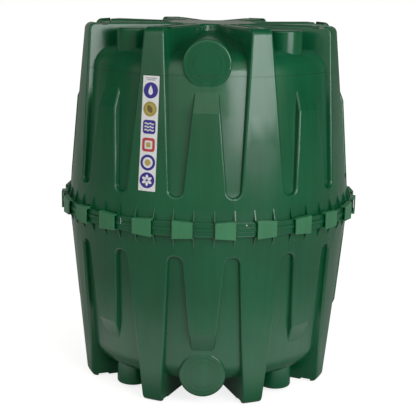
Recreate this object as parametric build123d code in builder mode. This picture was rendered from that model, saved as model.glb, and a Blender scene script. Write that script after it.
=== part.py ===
from build123d import *
from math import cos, hypot, radians, sin, tan
import os

os.makedirs("parts", exist_ok=True)

# A water tank of two equal moulded half shells that are clipped together at mid height.
# Each half is drawn from its rim plane, with heights measured away from the rim, and the
# lower half is the upper one turned over. The front bay between two ribs lies on -Y.

# Rib envelope of one half, a cone from the rim to the rib ends
half_height = 800.0
wall = 6.0
rim_radius = 641.0
rib_end_radius = 572.5
end_corner_round = 30.0

# Recessed body behind the ribs, with its depths measured down from the rib tops
recess_rim_radius = 623.0
recess_shoulder_radius = 554.0
shoulder_depth = 110.0
shoulder_round = 100.0
hub_radius = 200.0
hub_depth = 28.0
shoulder_height = half_height - shoulder_depth
hub_height = half_height - hub_depth

# Ribs, with a notch near each end and a shallow channel along each top
rib_count = 8
rib_half_width_end = 43.5
rib_half_width_rim = 107.0
rib_overrun = 20.0
hub_corner_round = 45.0
edge_round = 9.0
notch_distance = 517.0
notch_width = 50.0
notch_depth = 10.0
channel_start = 190.0
channel_end = 478.0
channel_width = 54.0
channel_depth = 3.0

# Flutes on the hub wall between two ribs
flute_count = 5
flute_radius = 4.0
flute_pitch_angle = 26.0

# Raised panel of a bay, with a round-bottomed valley on each side of it
valley_foot = 126.0
valley_round = 27.0
panel_half_width_base = 91.0
panel_half_width_tip = 49.0
panel_ramp_foot_depth = 335.0
panel_tip_depth = 234.0
panel_root_distance = 310.0
panel_ramp_foot = half_height - panel_ramp_foot_depth
panel_tip_height = half_height - panel_tip_depth

# Port barrels of the front and back bays, standpipes of the four corner bays
barrel_radius = 100.0
barrel_axis_depth = 142.0
barrel_face_distance = 566.0
barrel_root_distance = 120.0
barrel_edge_round = 9.0
barrel_axis_height = half_height - barrel_axis_depth
face_ring_radii = (58.0, 78.0)
face_ring_width = 3.0
face_ring_depth = 1.5
standpipe_radius = 71.0
standpipe_distance = 450.0
standpipe_root_depth = 200.0
standpipe_top_depth = 14.0
standpipe_edge_round = 8.0
standpipe_root_height = half_height - standpipe_root_depth
standpipe_height = half_height - standpipe_top_depth

# Rim flange with its seal groove
flange_root_inset = 4.5
flange_reach = 19.0
flange_lip = 4.0
flange_height = 28.0
flange_lip_height = 7.0
groove_inset = 1.0
groove_width = 12.0
groove_depth = 21.0
flange_root_radius = rim_radius - flange_root_inset
flange_top_radius = rim_radius + flange_reach
flange_lip_radius = flange_top_radius + flange_lip
groove_inner_radius = rim_radius + groove_inset
groove_outer_radius = groove_inner_radius + groove_width

# Gussets that brace the flange
gusset_count = 48
gusset_thickness = 5.0
gusset_height = 48.0
gusset_root_inset = 8.0
gusset_tip_inset = 6.0
gusset_toe_inset = 9.0
gusset_toe_height = 6.0
gusset_root_depth = 1.0
gusset_root_radius = rim_radius - gusset_root_inset
gusset_tip_radius = rim_radius - gusset_tip_inset
gusset_toe_radius = flange_top_radius - gusset_toe_inset

# Seal ring and clips
seal_clearance = 0.3
clip_count = 24
clip_width = 85.0
clip_plate = 6.0
clip_web_gap = 5.0
clip_leg_tall = 9.5
clip_leg_low = 4.0
clip_clearance = 0.3
clip_toe_gap = 1.5
clip_edge_round = 1.5

bay_angle = 360 / rib_count
half_bay = bay_angle / 2


def recess_radius(height):
    """Radius of the recessed body's side at a height above the rim."""
    lean = (recess_rim_radius - recess_shoulder_radius) / shoulder_height
    return recess_rim_radius - lean * height


def envelope_radius(height):
    """Radius of the cone round the ribs and panels at a height above the rim."""
    return rim_radius - (rim_radius - rib_end_radius) / half_height * height


def ramp_radius(height):
    """Radius of the ramp at the top of a panel, which runs down into the recessed body."""
    foot_radius = envelope_radius(panel_ramp_foot)
    end_radius = recess_radius(panel_tip_height) - edge_round
    lean = (foot_radius - end_radius) / (panel_tip_height + edge_round - panel_ramp_foot)
    return foot_radius - lean * (height - panel_ramp_foot)


def rib_offset(height):
    """Distance from a bay's middle plane to the outer corner of the rib beside it."""
    taper = (rib_half_width_rim - rib_half_width_end) / half_height
    half_width = rib_half_width_rim - taper * height
    return envelope_radius(height) * sin(radians(half_bay)) - half_width * cos(radians(half_bay))


def between_rib_middles(point):
    """Whether a point lies inside the bay's angle and off its end faces."""
    return abs(point.X) < -point.Y * tan(radians(half_bay)) - 1


def is_rib_or_panel_edge(edge, inset):
    """Whether an edge runs round the outside of the ribs, the valleys or the panel of a bay."""
    point = edge @ 0.5
    top = half_height - inset
    foot = valley_foot - inset
    above_foot = point.Z > foot - 1
    proud = point.Z > top - 1 or hypot(point.X, point.Y) > recess_radius(point.Z) - inset + 5
    seam = edge.geom_type == GeomType.CIRCLE and abs(point.Z - foot) > 1
    return above_foot and proud and between_rib_middles(point) and not seam


def bay_turn(profile):
    """Solid of one bay's angle, turned from a profile."""
    with BuildPart() as body:
        with BuildSketch(Plane.XZ.rotated((0, 0, -90 - half_bay))):
            with BuildLine():
                Polyline(*profile, close=True)
            make_face()
        revolve(axis=Axis.Z, revolution_arc=bay_angle)
    return body.part


def round_turned_corner(turned, corner, radius):
    """The turned solid with the edge at one corner of its profile rounded."""
    with BuildPart() as body:
        add(turned)
        middle = Vector(0, -corner[0], corner[1])
        arcs = edges().filter_by(GeomType.CIRCLE).sort_by_distance(middle)
        fillet(arcs[0], radius)
    return body.part


def rib_plane(side):
    """Plane across the rib on one side of the bay, looking outward along the rib."""
    angle = radians(-90 + side * half_bay)
    return Plane(origin=(0, 0, 0), x_dir=(-sin(angle), cos(angle), 0), z_dir=(cos(angle), sin(angle), 0))


def bay_form(inset):
    """Solid form of one bay with the half ribs beside it, all faces moved in by the inset."""
    top = half_height - inset
    foot = valley_foot - inset
    base = panel_half_width_base - inset
    tip = panel_half_width_tip - inset
    rib_top = rib_half_width_end - inset
    rib_rim = rib_half_width_rim - inset
    recess_profile = [
        (0, 0),
        (recess_rim_radius - inset, 0),
        (recess_shoulder_radius - inset, shoulder_height - inset),
        (hub_radius, hub_height - inset),
        (0, hub_height - inset),
    ]
    rib_profile = [
        (0, 0),
        (rim_radius - inset, 0),
        (rib_end_radius - inset, top),
        (0, top),
    ]
    ramp_start = panel_ramp_foot - rib_overrun
    ramp_end = panel_tip_height + edge_round
    ramp_profile = [
        (0, ramp_start),
        (ramp_radius(ramp_start) - inset, ramp_start),
        (ramp_radius(ramp_end) - inset, ramp_end),
        (0, ramp_end),
    ]
    recess = round_turned_corner(bay_turn(recess_profile), recess_profile[2], shoulder_round)
    rib_envelope = round_turned_corner(bay_turn(rib_profile), rib_profile[2], end_corner_round - inset)

    with BuildPart() as walls:
        for side in (-1, 1):
            with BuildSketch(rib_plane(side)):
                with BuildLine():
                    Polyline((-rib_rim, 0), (rib_rim, 0), (rib_top, top), (-rib_top, top), close=True)
                make_face()
            extrude(amount=rim_radius + rib_overrun)
        hub_corner = edges().filter_by(lambda e: e.center().Y < 0 and abs(e.center().X) < 1)
        fillet(hub_corner.sort_by(Edge.length)[-1], hub_corner_round + inset)
        reach = rim_radius * tan(radians(half_bay)) + rib_overrun
        with BuildSketch(Plane.XZ.offset(panel_root_distance)):
            with BuildLine():
                Polyline(
                    (-reach, 0),
                    (reach, 0),
                    (reach, foot),
                    (base, foot),
                    (tip, panel_tip_height),
                    (-tip, panel_tip_height),
                    (-base, foot),
                    (-reach, foot),
                    close=True,
                )
            make_face()
        extrude(amount=rim_radius)
        foot_corners = edges().filter_by(
            lambda e: abs(e.center().Z - foot) < 1
            and abs((e % 0.5).Z) < 0.01
            and abs((e % 0.5).Y) > 0.5
            and between_rib_middles(e @ 0.5)
        )
        fillet(foot_corners, valley_round + inset)
        add(rib_envelope, mode=Mode.INTERSECT)

    middle = (base + rib_offset(valley_foot)) / 2
    with BuildPart() as relief:
        with BuildSketch(Plane.XZ.offset(recess_shoulder_radius - shoulder_round)):
            with Locations((0, (ramp_start + panel_tip_height) / 2)):
                Rectangle(2 * middle, panel_tip_height - ramp_start)
        extrude(amount=rim_radius)
        add(bay_turn(ramp_profile), mode=Mode.SUBTRACT)

    with BuildPart() as form:
        add(walls.part)
        add(relief.part, mode=Mode.SUBTRACT)
        add(recess)
        fillet(edges().filter_by(lambda e: is_rib_or_panel_edge(e, inset)), edge_round - inset / 2)
        channel_middle = (channel_start + channel_end) / 2
        channel_length = channel_end - channel_start
        with BuildSketch(Plane.XY.offset(top)):
            with PolarLocations(notch_distance, 2, start_angle=-90 - half_bay, angular_range=2 * bay_angle):
                Rectangle(notch_width + 2 * inset, 4 * rib_half_width_end)
        extrude(amount=-notch_depth, mode=Mode.SUBTRACT)
        with BuildSketch(Plane.XY.offset(top)):
            with PolarLocations(channel_middle, 2, start_angle=-90 - half_bay, angular_range=2 * bay_angle):
                SlotOverall(channel_length + 2 * inset, channel_width + 2 * inset)
        extrude(amount=-channel_depth, mode=Mode.SUBTRACT)
    return form.part


def port_form(inset, port):
    """Barrel or standpipe of a bay, kept within the bay's angle."""
    with BuildPart() as body:
        if port == "barrel":
            with BuildSketch(Plane(origin=(0, -barrel_root_distance, barrel_axis_height), z_dir=(0, -1, 0))):
                Circle(barrel_radius - inset)
            extrude(amount=barrel_face_distance - inset - barrel_root_distance)
            fillet(edges().sort_by(Axis.Y)[0], barrel_edge_round)
            if inset == 0:
                face_plane = Plane(origin=(0, -barrel_face_distance, barrel_axis_height), z_dir=(0, -1, 0))
                for radius in face_ring_radii:
                    with BuildSketch(face_plane):
                        Circle(radius)
                        Circle(radius - face_ring_width, mode=Mode.SUBTRACT)
                    extrude(amount=-face_ring_depth, mode=Mode.SUBTRACT)
        else:
            with BuildSketch(Plane.XY.offset(standpipe_root_height)):
                with Locations((0, -standpipe_distance)):
                    Circle(standpipe_radius - inset)
            extrude(amount=standpipe_height - inset - standpipe_root_height)
            fillet(edges().sort_by(Axis.Z)[-1], standpipe_edge_round)
        half_width = rim_radius * tan(radians(half_bay))
        with BuildSketch(Plane.XY):
            with BuildLine():
                Polyline((0, 0), (half_width, -rim_radius), (-half_width, -rim_radius), close=True)
            make_face()
        extrude(amount=half_height, mode=Mode.INTERSECT)
    return body.part


# Flange and gussets of one bay
flange_profile = [
    (flange_root_radius, 0),
    (groove_inner_radius, 0),
    (groove_inner_radius, groove_depth),
    (groove_outer_radius, groove_depth),
    (groove_outer_radius, 0),
    (flange_lip_radius, 0),
    (flange_lip_radius, flange_lip_height),
    (flange_top_radius, flange_lip_height),
    (flange_top_radius, flange_height),
    (flange_root_radius, flange_height),
]
gusset_profile = [
    (gusset_root_radius, flange_height - gusset_root_depth),
    (gusset_toe_radius, flange_height - gusset_root_depth),
    (gusset_toe_radius, flange_height + gusset_toe_height),
    (gusset_tip_radius, flange_height + gusset_height),
    (gusset_root_radius, flange_height + gusset_height),
]
gusset_pitch = 360 / gusset_count
gussets_per_bay = gusset_count // rib_count

with BuildPart() as gusset:
    with BuildSketch(Plane.XZ):
        with BuildLine():
            Polyline(*gusset_profile, close=True)
        make_face()
    extrude(amount=gusset_thickness / 2, both=True)

# Flutes stand round the rounded corner of the hub wall
flute_centre_distance = (rib_half_width_end + hub_corner_round) / sin(radians(half_bay))
with BuildPart() as flutes:
    with BuildSketch(Plane.XY.offset(shoulder_height)):
        with Locations((0, -flute_centre_distance)):
            with PolarLocations(
                hub_corner_round,
                flute_count,
                start_angle=90 - flute_pitch_angle * (flute_count - 1) / 2,
                angular_range=flute_pitch_angle * (flute_count - 1),
                endpoint=True,
            ):
                Circle(flute_radius)
    extrude(amount=half_height - edge_round - shoulder_height)

outer_bay = bay_form(0)
inner_bay = bay_form(wall)

with BuildPart() as braced_bay:
    add(outer_bay)
    add(flutes.part)
    with BuildSketch(Plane.XZ.rotated((0, 0, -90 - half_bay))):
        with BuildLine():
            Polyline(*flange_profile, close=True)
        make_face()
    revolve(axis=Axis.Z, revolution_arc=bay_angle)
    with PolarLocations(0, gussets_per_bay, start_angle=-90 - half_bay + gusset_pitch / 2, angular_range=bay_angle):
        add(gusset.part)


def bay_shell(port):
    """Hollow moulding of one bay."""
    with BuildPart() as shell:
        add(braced_bay.part)
        if port is not None:
            add(port_form(0, port))
        add(inner_bay, mode=Mode.SUBTRACT)
        if port is not None:
            add(port_form(wall, port), mode=Mode.SUBTRACT)
    return shell.part


barrel_bay = bay_shell("barrel")
standpipe_bay = bay_shell("standpipe")
plain_bay = bay_shell(None)

with BuildPart() as half:
    with PolarLocations(0, 2):
        add(barrel_bay)
    with PolarLocations(0, 2, start_angle=2 * bay_angle):
        add(plain_bay)
    with PolarLocations(0, 4, start_angle=bay_angle):
        add(standpipe_bay)

with BuildPart(Plane.XY.offset(half_height)) as upper_shell:
    add(half.part)

turned_over = Plane(origin=(0, 0, half_height), x_dir=(1, 0, 0), z_dir=(0, 0, -1))
with BuildPart(turned_over) as lower_shell:
    add(half.part)

with BuildPart() as rim_seal:
    with BuildSketch(Plane.XZ):
        with Locations(((groove_inner_radius + groove_outer_radius) / 2, half_height)):
            Rectangle(
                groove_outer_radius - groove_inner_radius - 2 * seal_clearance,
                2 * (groove_depth - seal_clearance),
            )
    revolve(axis=Axis.Z)

upper_shell.part.label = "upper_shell"
export_step(upper_shell.part, "parts/upper_shell.step")
lower_shell.part.label = "lower_shell"
export_step(lower_shell.part, "parts/lower_shell.step")
rim_seal.part.label = "rim_seal"
export_step(rim_seal.part, "parts/rim_seal.step")


def clip_section(leg):
    """Channel section of a clip, as points in a plane through the tank's axis."""
    seat = flange_height + clip_clearance
    toe = gusset_toe_radius + clip_toe_gap
    inner = flange_lip_radius + clip_web_gap
    outer = inner + clip_plate
    return [
        (toe, seat),
        (inner, seat),
        (inner, -seat),
        (toe, -seat),
        (toe, -seat - leg),
        (outer, -seat - leg),
        (outer, seat + leg),
        (toe, seat + leg),
    ]


# A clip is a channel that grows taller from one end to the other
with BuildPart() as clip:
    for offset, leg in ((-clip_width / 2, clip_leg_tall), (clip_width / 2, clip_leg_low)):
        with BuildSketch(Plane.XZ.offset(offset)):
            with BuildLine():
                Polyline(*clip_section(leg), close=True)
            make_face()
    loft(ruled=True)
    outer_edges = faces().sort_by(Axis.X)[-1].edges()
    fillet(outer_edges, clip_edge_round)

# The clips stand in pairs with their tall ends facing each other
with BuildPart() as turned_clip:
    add(clip.part, rotation=(180, 0, 0))

for index in range(clip_count):
    angle = radians(-90 + (index + 0.5) * 360 / clip_count)
    place = Plane(origin=(0, 0, half_height), x_dir=(cos(angle), sin(angle), 0))
    source = clip if index % 2 == 0 else turned_clip
    with BuildPart(place) as placed_clip:
        add(source.part)
    name = f"clip_{index + 1:02d}"
    placed_clip.part.label = name
    export_step(placed_clip.part, f"parts/{name}.step")
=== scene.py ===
import math

import bmesh
import bpy
from mathutils import Matrix, Vector


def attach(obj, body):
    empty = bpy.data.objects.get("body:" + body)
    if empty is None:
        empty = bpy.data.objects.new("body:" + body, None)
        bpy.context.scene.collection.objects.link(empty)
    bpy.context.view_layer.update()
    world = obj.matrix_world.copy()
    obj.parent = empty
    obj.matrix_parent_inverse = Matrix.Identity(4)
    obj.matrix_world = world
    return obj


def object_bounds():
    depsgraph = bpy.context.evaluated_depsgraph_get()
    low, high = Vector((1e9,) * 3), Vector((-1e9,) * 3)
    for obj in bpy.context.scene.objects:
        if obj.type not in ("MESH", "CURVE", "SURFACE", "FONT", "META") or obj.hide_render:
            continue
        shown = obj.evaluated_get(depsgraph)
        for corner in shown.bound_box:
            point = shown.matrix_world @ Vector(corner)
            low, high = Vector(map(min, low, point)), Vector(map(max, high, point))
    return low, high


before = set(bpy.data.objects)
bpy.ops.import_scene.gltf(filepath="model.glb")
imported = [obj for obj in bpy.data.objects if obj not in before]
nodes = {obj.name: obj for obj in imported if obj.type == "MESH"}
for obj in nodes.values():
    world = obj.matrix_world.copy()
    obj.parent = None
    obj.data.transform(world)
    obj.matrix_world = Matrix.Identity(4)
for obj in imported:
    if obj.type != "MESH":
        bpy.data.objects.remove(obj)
cad_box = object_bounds()
upper = nodes["upper_shell"]

TANK_HEIGHT = cad_box[1].z - cad_box[0].z
RIM_HEIGHT = TANK_HEIGHT / 2
OUTSIDE_RADIUS = (cad_box[1].x - cad_box[0].x) / 2 + 0.05

# Camera, placed as the photograph shows the tank
CAMERA_DISTANCE = 4.756
CAMERA_HEIGHT = RIM_HEIGHT + 1.015
CAMERA_PITCH = math.radians(12.65)
CAMERA_TURN = math.radians(1.45)
CAMERA_ROLL = math.radians(1.0)
CAMERA_LENS = 90.75
CAMERA_SENSOR = 36
CAMERA_SHIFT = -0.0022

# Mould line round the upper half, measured from the joint of the halves: a shallow bump groove,
# with painted shade in dark grey along it
MOULD_LINE_HEIGHT = 0.610
MOULD_LINE_HALF_WIDTH = 0.0013
MOULD_LINE_DEPTH = 0.05
MOULD_LINE_PAINTED_SHADE = 0.35
MOULD_LINE_SHADE_GREY = 0.004

# Clips and the beads in the spaces between them, in degrees round the tank
CLIP_COUNT = 24
CLIP_SPACING = 15
FIRST_CLIP = 7.5
BEAD_REACH = 3.2
BEAD_STEPS = 8
BEAD_SIDES = 8

# Beads on each flange: radius, distance from the joint of the halves, radius of the section
LIP_BEAD = (0.6585, 0.0275, 0.0024)
RIM_BEAD = (0.6598, 0.0098, 0.002)

# Rib inside each clip, as thickness, width and height, and the radius that it stands at
CLIP_RIB_SIZE = (0.004, 0.0065, 0.052)
CLIP_RIB_RADIUS = 0.6637

# Steel pin and stud on the flange, each at an angle, a radius and a height over the joint
PIN_RADIUS = 0.0026
PIN_LENGTH = 0.025
PIN_PLACE = (-31.6, 0.662, 0.009)
STUD_RADIUS = 0.0036
STUD_LENGTH = 0.006
STUD_PLACE = (15.1, 0.6605, 0.02)
PIN_ROUNDING = 0.35

# Label on the rib to the left of the front bay
LABEL_ANGLE = math.radians(-22.4)
LABEL_RADIUS = 0.6
LABEL_WIDTH = 0.074
LABEL_FOOT = RIM_HEIGHT + 0.141
LABEL_TOP = RIM_HEIGHT + 0.607
LABEL_COLUMNS = 8
LABEL_ROWS = 48
LABEL_LIFT = 0.0006

# Marks on the label, with their places as shares of its height from the top
MARK_LIFT = 0.0004
MARK_RADIUS = 0.0325
MARK_SQUARE = 0.056
MARK_CORNER = 0.012
MARK_PLACES = (0.125, 0.285, 0.44, 0.595, 0.75, 0.905)
OUTLINE_POINTS = 48
LONG_SIDE = 0.006

# Colours, as the deep and the pale end of a drift or as one ink
SHELL_COLOURS = ((0.0035, 0.08, 0.029), (0.006, 0.112, 0.043))
CLIP_COLOURS = ((0.035, 0.165, 0.072), (0.052, 0.23, 0.105))
SEAL_COLOURS = ((0.01, 0.01, 0.01), (0.02, 0.02, 0.02))
FILM_WHITE = (0.87, 0.87, 0.87)
FILM_ROUGHNESS = 0.4
INKS = {
    "blue": (0.035, 0.025, 0.27),
    "gold": (0.5, 0.4, 0.1),
    "red": (0.55, 0.06, 0.06),
    "brown": (0.16, 0.12, 0.03),
    "grey": (0.3, 0.3, 0.32),
    "white": FILM_WHITE,
}
FLOOR_COLOUR = (0.5, 0.5, 0.48, 1)
WHITE = (1.0, 1.0, 1.0)
WARM_WHITE = (1.0, 0.97, 0.9)
WORN_SHARE = 0.9

# Moulded plastic: how much the streaks add to the colour drift, and its relief
STREAK_SHARE = 0.4
WAVE_HEIGHT = 0.1
GRAIN_HEIGHT = 0.01
BUMP_STRENGTH = 0.3
BUMP_DISTANCE = 0.01

# Floor, and the least that a mirrored ray sees of the room and of the floor
FLOOR_REACH = 30
ROOM_DIM = 0.03
FLOOR_DIM = 0.04


def add_camera():
    data = bpy.data.cameras.new("camera")
    data.lens = CAMERA_LENS
    data.sensor_width = CAMERA_SENSOR
    data.shift_x = CAMERA_SHIFT
    camera = bpy.data.objects.new("camera", data)
    bpy.context.scene.collection.objects.link(camera)
    turn = Matrix.Rotation(CAMERA_TURN, 4, "Z")
    place = turn @ Matrix.Translation((0, -CAMERA_DISTANCE, CAMERA_HEIGHT))
    tilt = Matrix.Rotation(math.pi / 2 - CAMERA_PITCH, 4, "X")
    roll = Matrix.Rotation(CAMERA_ROLL, 4, "Z")
    camera.matrix_world = place @ tilt @ roll
    bpy.context.scene.camera = camera


# Nodes of the materials
def new_material(name):
    material = bpy.data.materials.new(name)
    material.use_nodes = True
    tree = material.node_tree
    shader = tree.nodes["Principled BSDF"]
    return material, tree, shader


def add_math(tree, operation, first, second):
    node = tree.nodes.new("ShaderNodeMath")
    node.operation = operation
    for socket, value in zip(node.inputs, (first, second)):
        if isinstance(value, (int, float)):
            socket.default_value = value
        else:
            tree.links.new(value, socket)
    return node.outputs[0]


def add_product(tree, first, *others):
    for other in others:
        first = add_math(tree, "MULTIPLY", first, other)
    return first


def add_parts(tree, vector):
    """The X, Y and Z of a vector."""
    parts = tree.nodes.new("ShaderNodeSeparateXYZ")
    tree.links.new(vector, parts.inputs[0])
    return parts.outputs


def add_noise(tree, coordinates, scale, detail, stretch=(1, 1, 1)):
    mapping = tree.nodes.new("ShaderNodeMapping")
    mapping.inputs["Scale"].default_value = stretch
    noise = tree.nodes.new("ShaderNodeTexNoise")
    noise.inputs["Scale"].default_value = scale
    noise.inputs["Detail"].default_value = detail
    tree.links.new(coordinates.outputs["Object"], mapping.inputs["Vector"])
    tree.links.new(mapping.outputs["Vector"], noise.inputs["Vector"])
    return noise.outputs["Fac"]


def add_ramp(tree, value, *stops):
    """Colour that goes from the first stop to the last, each a position and a colour."""
    ramp = tree.nodes.new("ShaderNodeValToRGB")
    for element, (position, colour) in zip(ramp.color_ramp.elements, stops):
        element.position = position
        element.color = (*colour, 1)
    tree.links.new(value, ramp.inputs["Fac"])
    return ramp.outputs["Color"]


def add_mix(tree, factor, first, second):
    mix = tree.nodes.new("ShaderNodeMix")
    mix.data_type = "RGBA"
    tree.links.new(factor, mix.inputs[0])
    for socket, value in ((mix.inputs[6], first), (mix.inputs[7], second)):
        if isinstance(value, tuple):
            socket.default_value = (*value, 1)
        else:
            tree.links.new(value, socket)
    return mix.outputs[2]


def add_fade(tree, value, dark_at, bright_at):
    """0 on one side of a value and 1 on the other, with a soft step between."""
    fade = tree.nodes.new("ShaderNodeMapRange")
    fade.interpolation_type = "SMOOTHSTEP"
    fade.inputs["From Min"].default_value = min(dark_at, bright_at)
    fade.inputs["From Max"].default_value = max(dark_at, bright_at)
    fade.inputs["To Min"].default_value = 1 if bright_at < dark_at else 0
    fade.inputs["To Max"].default_value = 0 if bright_at < dark_at else 1
    tree.links.new(value, fade.inputs["Value"])
    return fade.outputs["Result"]


def add_mirrored(tree, path):
    """1 for a ray that a surface mirrors or lets through, 0 for any other."""
    rays = path.outputs
    return add_math(tree, "MAXIMUM", rays["Is Glossy Ray"], rays["Is Transmission Ray"])


def grey(value):
    return (value, value, value)


def add_mould_line(tree, coordinates):
    """1 on the thin line that the mould leaves round the upper half, 0 elsewhere."""
    height = add_parts(tree, coordinates.outputs["Object"])["Z"]
    from_line = add_math(tree, "SUBTRACT", height, RIM_HEIGHT + MOULD_LINE_HEIGHT)
    offset = add_math(tree, "ABSOLUTE", from_line, 0)
    return add_math(tree, "LESS_THAN", offset, MOULD_LINE_HALF_WIDTH)


# Materials
def moulded_plastic(name, colours, roughness, specular=0.5, mould_line=False):
    """Plastic with slow colour drift, faint flow streaks, scuffs and a soft waviness."""
    material, tree, shader = new_material(name)
    coordinates = tree.nodes.new("ShaderNodeTexCoord")
    drift = add_noise(tree, coordinates, scale=2.2, detail=3)
    streaks = add_noise(tree, coordinates, scale=34, detail=4, stretch=(1, 1, 0.05))
    blend = add_math(tree, "ADD", add_product(tree, streaks, STREAK_SHARE), drift)
    colour = add_ramp(tree, blend, (0.5, colours[0]), (0.9, colours[1]))
    scuffs = add_noise(tree, coordinates, scale=12, detail=6, stretch=(1, 1, 0.3))
    scuffed = add_ramp(tree, scuffs, (0.3, grey(roughness[0])), (0.72, grey(roughness[1])))
    waves = add_noise(tree, coordinates, scale=5, detail=2)
    fine = add_noise(tree, coordinates, scale=500, detail=2)
    waves = add_product(tree, waves, WAVE_HEIGHT)
    height = add_math(tree, "ADD", add_product(tree, fine, GRAIN_HEIGHT), waves)
    if mould_line:
        line = add_mould_line(tree, coordinates)
        # Painted shade: the colour along the groove is mixed towards dark grey, standing in for
        # the shade that falls in it
        shade = add_product(tree, line, MOULD_LINE_PAINTED_SHADE)
        colour = add_mix(tree, shade, colour, grey(MOULD_LINE_SHADE_GREY))
        height = add_math(tree, "SUBTRACT", height, add_product(tree, line, MOULD_LINE_DEPTH))
    tree.links.new(colour, shader.inputs["Base Color"])
    tree.links.new(scuffed, shader.inputs["Roughness"])
    shader.inputs["Specular IOR Level"].default_value = specular
    bump = tree.nodes.new("ShaderNodeBump")
    bump.inputs["Strength"].default_value = BUMP_STRENGTH
    bump.inputs["Distance"].default_value = BUMP_DISTANCE
    tree.links.new(height, bump.inputs["Height"])
    tree.links.new(bump.outputs["Normal"], shader.inputs["Normal"])
    return material


def printed_film(name, colour):
    """One ink on film, with a faint unevenness."""
    material, tree, shader = new_material(name)
    coordinates = tree.nodes.new("ShaderNodeTexCoord")
    speckle = add_noise(tree, coordinates, scale=160, detail=3)
    worn = tuple(WORN_SHARE * channel for channel in colour)
    ink = add_ramp(tree, speckle, (0.35, worn), (0.65, colour))
    tree.links.new(ink, shader.inputs["Base Color"])
    shader.inputs["Roughness"].default_value = FILM_ROUGHNESS
    return material


def bright_steel(name):
    """Plain steel, lightly brushed."""
    material, tree, shader = new_material(name)
    coordinates = tree.nodes.new("ShaderNodeTexCoord")
    brushing = add_noise(tree, coordinates, scale=300, detail=3, stretch=(1, 1, 0.1))
    roughness = add_ramp(tree, brushing, (0.3, grey(0.15)), (0.7, grey(0.3)))
    tree.links.new(roughness, shader.inputs["Roughness"])
    colour = add_ramp(tree, brushing, (0.3, grey(0.62)), (0.7, grey(0.78)))
    tree.links.new(colour, shader.inputs["Base Color"])
    shader.inputs["Metallic"].default_value = 1
    return material


def assign(obj, material):
    obj.data.materials.clear()
    obj.data.materials.append(material)


# Pieces added to the CAD
def add_piece(name, shape, material, smooth=False):
    """Makes a piece from a bmesh, which it frees."""
    mesh = bpy.data.meshes.new(name)
    shape.to_mesh(mesh)
    shape.free()
    piece = bpy.data.objects.new(name, mesh)
    bpy.context.scene.collection.objects.link(piece)
    assign(piece, material)
    if smooth:
        mesh.polygons.foreach_set("use_smooth", [True] * len(mesh.polygons))
    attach(piece, "root")
    return piece


def on_belt(degrees, radius, height):
    """Point at an angle round the tank, at a height above the joint of the halves."""
    angle = math.radians(degrees)
    return Vector((radius * math.sin(angle), -radius * math.cos(angle), RIM_HEIGHT + height))


def join_rings(shape, first, second):
    """Faces between two closed rings with the same number of corners."""
    count = len(second)
    for index in range(count):
        after = (index + 1) % count
        shape.faces.new((first[index], second[index], second[after], first[after]))


def add_beads(name, radius, height, thickness, material):
    """Rounded edge along the flange, in the spaces between the clips."""
    shape = bmesh.new()
    for space in range(CLIP_COUNT):
        rings = []
        for step in range(BEAD_STEPS + 1):
            degrees = CLIP_SPACING * space - BEAD_REACH + 2 * BEAD_REACH * step / BEAD_STEPS
            ring = []
            for side in range(BEAD_SIDES):
                turn = 2 * math.pi * side / BEAD_SIDES
                out = radius + thickness * math.cos(turn)
                rise = height + thickness * math.sin(turn)
                ring.append(shape.verts.new(on_belt(degrees, out, rise)))
            rings.append(ring)
        for first, second in zip(rings, rings[1:]):
            join_rings(shape, first, second)
    add_piece(name, shape, material, True)


def add_clip_ribs(name, material):
    """Stiffening rib inside each clip, between its plate and the flange."""
    shape = bmesh.new()
    for clip in range(CLIP_COUNT):
        degrees = FIRST_CLIP + CLIP_SPACING * clip
        turn = Matrix.Rotation(math.radians(degrees), 4, "Z")
        place = Matrix.Translation(on_belt(degrees, CLIP_RIB_RADIUS, 0)) @ turn
        rib = bmesh.ops.create_cube(shape, size=1)["verts"]
        bmesh.ops.scale(shape, vec=CLIP_RIB_SIZE, verts=rib)
        bmesh.ops.transform(shape, matrix=place, verts=rib)
    add_piece(name, shape, material)


def add_pin(name, radius, length, place, axis, material):
    """Small round pin with rounded ends."""
    shape = bmesh.new()
    bmesh.ops.create_cone(
        shape, cap_ends=True, segments=32, radius1=radius, radius2=radius, depth=length
    )
    rims = [
        edge for edge in shape.edges
        if abs(edge.verts[0].co.z - edge.verts[1].co.z) < 1e-6
    ]
    rounding = radius * PIN_ROUNDING
    bmesh.ops.bevel(
        shape, geom=rims, offset=rounding, segments=4, profile=0.5, affect="EDGES"
    )
    turn = Vector(axis).to_track_quat("Z", "Y").to_matrix().to_4x4()
    bmesh.ops.transform(shape, matrix=Matrix.Translation(place) @ turn, verts=shape.verts)
    add_piece(name, shape, material, True)


# Label
def on_shell(across, height, lift):
    """Point over the upper half, at a distance across the label and a height above the floor."""
    angle = LABEL_ANGLE + across / LABEL_RADIUS
    outward = Vector((math.sin(angle), -math.cos(angle), 0))
    start = outward * OUTSIDE_RADIUS + Vector((0, 0, height))
    place = upper.ray_cast(start, -outward)[1]
    return place + outward * lift


def add_label_strip(material):
    """White backing film, with its side edges turned down to the rib."""
    shape = bmesh.new()
    grid = []
    for row in range(LABEL_ROWS + 1):
        height = LABEL_FOOT + (LABEL_TOP - LABEL_FOOT) * row / LABEL_ROWS
        line = []
        for column in range(-1, LABEL_COLUMNS + 2):
            inside = min(max(column, 0), LABEL_COLUMNS)
            lift = LABEL_LIFT if inside == column else 0
            across = LABEL_WIDTH * (inside / LABEL_COLUMNS - 0.5)
            line.append(shape.verts.new(on_shell(across, height, lift)))
        grid.append(line)
    for low, high in zip(grid, grid[1:]):
        for column in range(len(low) - 1):
            shape.faces.new((low[column], low[column + 1], high[column + 1], high[column]))
    add_piece("label_strip", shape, material)


def drape(shape, outlines, level, lift):
    """Lays a flat mark on the label: rings of points round a level, each joined to the next."""
    rings = []
    for outline in outlines:
        points = [on_shell(u, level + v, LABEL_LIFT + lift) for u, v in outline]
        rings.append([shape.verts.new(point) for point in points])
    for inner, outer in zip(rings, rings[1:]):
        join_rings(shape, inner, outer)


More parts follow.
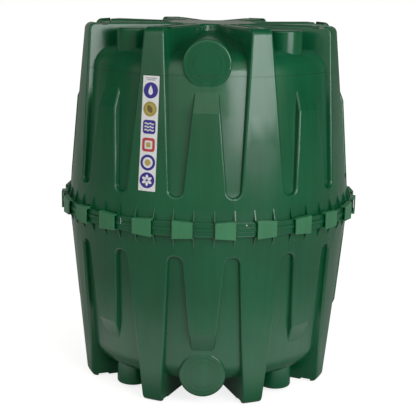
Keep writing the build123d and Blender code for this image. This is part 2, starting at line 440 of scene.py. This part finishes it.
def filled(outline, steps=4):
    """Rings that fill an outline from its middle."""
    middle_u = sum(u for u, v in outline) / len(outline)
    middle_v = sum(v for u, v in outline) / len(outline)
    rings = []
    for step in range(steps + 1):
        share = max(step / steps, 0.02)
        rings.append([
            (middle_u + share * (u - middle_u), middle_v + share * (v - middle_v))
            for u, v in outline
        ])
    return rings


def split(outline, parts=8):
    """Outline with its long sides cut into short ones, so that it follows the curved rib."""
    points = []
    for (u, v), (next_u, next_v) in zip(outline, outline[1:] + outline[:1]):
        cuts = parts if math.hypot(next_u - u, next_v - v) > LONG_SIDE else 1
        for cut in range(cuts):
            share = cut / cuts
            points.append((u + share * (next_u - u), v + share * (next_v - v)))
    return points


def outline_angles():
    return [2 * math.pi * index / OUTLINE_POINTS for index in range(OUTLINE_POINTS)]


def circle(radius):
    return [(radius * math.cos(angle), radius * math.sin(angle)) for angle in outline_angles()]


def rounded_square(side, corner, count=12):
    points = []
    reach = side / 2 - corner
    for quarter, (sign_u, sign_v) in enumerate(((1, 1), (-1, 1), (-1, -1), (1, -1))):
        for index in range(count):
            angle = quarter * math.pi / 2 + math.pi / 2 * index / (count - 1)
            u = reach * sign_u + corner * math.cos(angle)
            v = reach * sign_v + corner * math.sin(angle)
            points.append((u, v))
    return split(points)


def drop(width, height):
    """Outline of a water drop."""
    points = []
    for angle in outline_angles():
        narrowing = math.sin(angle / 2) ** 1.4
        points.append((width / 2 * math.sin(angle) * narrowing, height / 2 * math.cos(angle)))
    return points


def leaf(length, width, turn):
    """Outline of a pointed leaf, turned about its middle."""
    cosine, sine = math.cos(turn), math.sin(turn)
    points = []
    for angle in outline_angles():
        u = width / 2 * math.sin(angle) * abs(math.sin(angle)) ** 0.6
        v = length / 2 * math.cos(angle)
        points.append((u * cosine - v * sine, u * sine + v * cosine))
    return points


def wave(width, thickness, swell, level, count=24):
    """Outline of a band that waves across the label."""
    low, high = [], []
    for index in range(count):
        share = index / (count - 1)
        u = width * (share - 0.5)
        v = level + swell * math.sin(4 * math.pi * share)
        high.append((u, v + thickness / 2))
        low.append((u, v - thickness / 2))
    return low + high[::-1]


def bar(width, height, level):
    reach, low, high = width / 2, level - height / 2, level + height / 2
    return split([(-reach, low), (reach, low), (reach, high), (-reach, high)])


def add_marks(inks):
    """Generic round and square marks down the label, one piece for each ink."""
    shapes = {name: bmesh.new() for name in inks}
    levels = [LABEL_TOP - share * (LABEL_TOP - LABEL_FOOT) for share in MARK_PLACES]

    def lay(ink, outlines, level):
        drape(shapes[ink], outlines, level, MARK_LIFT)

    def lay_over(ink, outlines, level):
        drape(shapes[ink], outlines, level, 2 * MARK_LIFT)

    # Drop on a blue disc
    level = levels[0]
    lay("blue", filled(circle(MARK_RADIUS)), level)
    lay_over("white", filled(drop(width=0.028, height=0.04)), level + 0.002)

    # Gold disc with a fine ring round a leaf
    level = levels[1]
    lay("gold", filled(circle(MARK_RADIUS * 0.94)), level)
    lay_over("brown", [circle(MARK_RADIUS * 0.74), circle(MARK_RADIUS * 0.79)], level)
    lay_over("brown", filled(leaf(length=0.036, width=0.022, turn=0.6)), level)

    # Blue square with three waves
    level = levels[2]
    square = rounded_square(MARK_SQUARE, MARK_CORNER)
    lay("blue", filled(square), level)
    for rise in (-0.013, 0, 0.013):
        band = wave(width=0.042, thickness=0.0045, swell=0.003, level=rise)
        lay_over("white", filled(band), level)

    # Red square frame round a gold square
    level = levels[3]
    lay("red", [rounded_square(0.034, 0.006), square], level)
    lay("gold", filled(rounded_square(0.02, 0.004)), level)

    # Gold dot in a blue ring
    level = levels[4]
    lay("blue", [circle(MARK_RADIUS * 0.68), circle(MARK_RADIUS)], level)
    lay("gold", filled(circle(MARK_RADIUS * 0.4)), level)

    # Blue disc with six petals
    level = levels[5]
    petal_reach = 0.014
    lay("blue", filled(circle(MARK_RADIUS)), level)
    for sixth in range(6):
        turn = math.pi / 3 * sixth
        out_u, out_v = -petal_reach * math.sin(turn), petal_reach * math.cos(turn)
        petal = leaf(length=0.02, width=0.012, turn=turn)
        lay_over("white", filled([(u + out_u, v + out_v) for u, v in petal]), level)

    # Grey rules at the head of the label
    for rise, width in ((0.049, 0.05), (0.042, 0.036)):
        lay("grey", filled(bar(width, height=0.003, level=rise), steps=1), levels[0])

    for name, material in inks.items():
        add_piece("label_" + name, shapes[name], material)


# Surroundings
def add_light(name, place, aim, size, power, colour, mirrored=True):
    data = bpy.data.lights.new(name, "AREA")
    data.shape = "RECTANGLE"
    data.size, data.size_y = size
    data.energy = power
    data.color = colour
    light = bpy.data.objects.new(name, data)
    bpy.context.scene.collection.objects.link(light)
    light.visible_glossy = mirrored
    light.location = place
    light.rotation_euler = (Vector(aim) - Vector(place)).to_track_quat("-Z", "Y").to_euler()


def add_world(ambient, backdrop_shine, room_shine):
    """Soft light. The camera sees white; reflections see a pale backdrop and a dim room."""
    world = bpy.data.worlds.new("world")
    bpy.context.scene.world = world
    world.use_nodes = True
    tree = world.node_tree
    background = tree.nodes["Background"]
    coordinates = tree.nodes.new("ShaderNodeTexCoord")
    parts = add_parts(tree, coordinates.outputs["Generated"])

    # Pale backdrop behind the tank, strongest low down and to the left
    behind = add_fade(tree, parts["Y"], dark_at=0.1, bright_at=0.75)
    low = add_fade(tree, parts["Z"], dark_at=0.6, bright_at=0.2)
    leftward = add_fade(tree, parts["X"], dark_at=1.6, bright_at=-0.4)
    backdrop = add_product(tree, behind, low, leftward, backdrop_shine)

    # Room on the camera's side
    ahead = add_fade(tree, parts["Y"], dark_at=-0.1, bright_at=-0.7)
    raised = add_fade(tree, parts["Z"], dark_at=-0.05, bright_at=0.1)
    room = add_product(tree, ahead, raised, room_shine)
    shine = add_math(tree, "ADD", backdrop, add_math(tree, "ADD", room, ROOM_DIM))

    # White for the camera, the shine for mirrored rays and the ambient light for the rest
    path = tree.nodes.new("ShaderNodeLightPath")
    camera = path.outputs["Is Camera Ray"]
    mirrored = add_mirrored(tree, path)
    tree.links.new(add_mix(tree, mirrored, WHITE, WARM_WHITE), background.inputs["Color"])
    rest = add_math(tree, "SUBTRACT", add_math(tree, "SUBTRACT", 1, camera), mirrored)
    strength = add_math(tree, "ADD", camera, add_product(tree, mirrored, shine))
    strength = add_math(tree, "ADD", strength, add_product(tree, rest, ambient))
    tree.links.new(strength, background.inputs["Strength"])


def add_floor(glow, shine):
    """White floor that keeps the tank's shadow, as bright to the camera as the backdrop."""
    reach = FLOOR_REACH
    corners = [(-reach, -reach, 0), (reach, -reach, 0), (reach, reach, 0), (-reach, reach, 0)]
    mesh = bpy.data.meshes.new("floor")
    mesh.from_pydata(corners, [], [(0, 1, 2, 3)])
    floor = bpy.data.objects.new("floor", mesh)
    bpy.context.scene.collection.objects.link(floor)
    material, tree, shader = new_material("floor_white")
    shader.inputs["Base Color"].default_value = FLOOR_COLOUR
    shader.inputs["Roughness"].default_value = 1
    shader.inputs["Specular IOR Level"].default_value = 0
    path = tree.nodes.new("ShaderNodeLightPath")
    mirrored = add_mirrored(tree, path)

    # Patch in front of the tank that reflections see as brighter than the rest
    coordinates = tree.nodes.new("ShaderNodeTexCoord")
    place = coordinates.outputs["Object"]
    length = tree.nodes.new("ShaderNodeVectorMath")
    length.operation = "LENGTH"
    tree.links.new(place, length.inputs[0])
    distance = length.outputs["Value"]
    near = add_fade(tree, distance, dark_at=1.7, bright_at=0.85)
    outside = add_fade(tree, distance, dark_at=0.6, bright_at=0.85)
    ahead = add_fade(tree, add_parts(tree, place)["Y"], dark_at=0.2, bright_at=-0.6)
    patch = add_product(tree, near, outside, ahead, shine)
    patch = add_product(tree, mirrored, add_math(tree, "ADD", patch, FLOOR_DIM))

    seen = add_product(tree, path.outputs["Is Camera Ray"], glow)
    strength = add_math(tree, "ADD", seen, patch)
    shader.inputs["Emission Color"].default_value = (*WHITE, 1)
    tree.links.new(strength, shader.inputs["Emission Strength"])
    assign(floor, material)


add_camera()
shell_green = moulded_plastic("shell_green", SHELL_COLOURS, (0.19, 0.23), mould_line=True)
clip_green = moulded_plastic("clip_green", CLIP_COLOURS, (0.3, 0.42))
seal_black = moulded_plastic("seal_black", SEAL_COLOURS, (0.6, 0.8), specular=0.4)
for name, node in nodes.items():
    if name.startswith("clip"):
        assign(node, clip_green)
    elif name == "rim_seal":
        assign(node, seal_black)
    else:
        assign(node, shell_green)

add_label_strip(printed_film("film_white", FILM_WHITE))
for half, side in (("upper", 1), ("lower", -1)):
    for edge, (radius, height, thickness) in (("lip", LIP_BEAD), ("rim", RIM_BEAD)):
        add_beads(f"{half}_{edge}_bead", radius, side * height, thickness, shell_green)
add_clip_ribs("clip_inner_ribs", clip_green)
steel = bright_steel("steel")
add_pin(
    "flange_pin", PIN_RADIUS, PIN_LENGTH,
    place=on_belt(*PIN_PLACE), axis=(0, 0, 1), material=steel,
)
add_pin(
    "flange_stud", STUD_RADIUS, STUD_LENGTH,
    place=on_belt(*STUD_PLACE), axis=on_belt(STUD_PLACE[0], 1, -RIM_HEIGHT), material=steel,
)
add_marks({name: printed_film("ink_" + name, colour) for name, colour in INKS.items()})

add_floor(glow=0.8, shine=0.9)
add_world(ambient=0.48, backdrop_shine=0.33, room_shine=1.25)
add_light(
    "key", place=(2.4, -3.45, 2.14), aim=(0, 0, 1.4),
    size=(2.6, 1.9), power=88, colour=(0.93, 0.98, 1.0),
)
add_light(
    "fill", place=(-3.6, -1.8, 1.8), aim=(0, 0, 1.0),
    size=(1.4, 2.0), power=16, colour=(1.0, 0.93, 0.8), mirrored=False,
)

bpy.context.scene.view_settings.view_transform = "Standard"
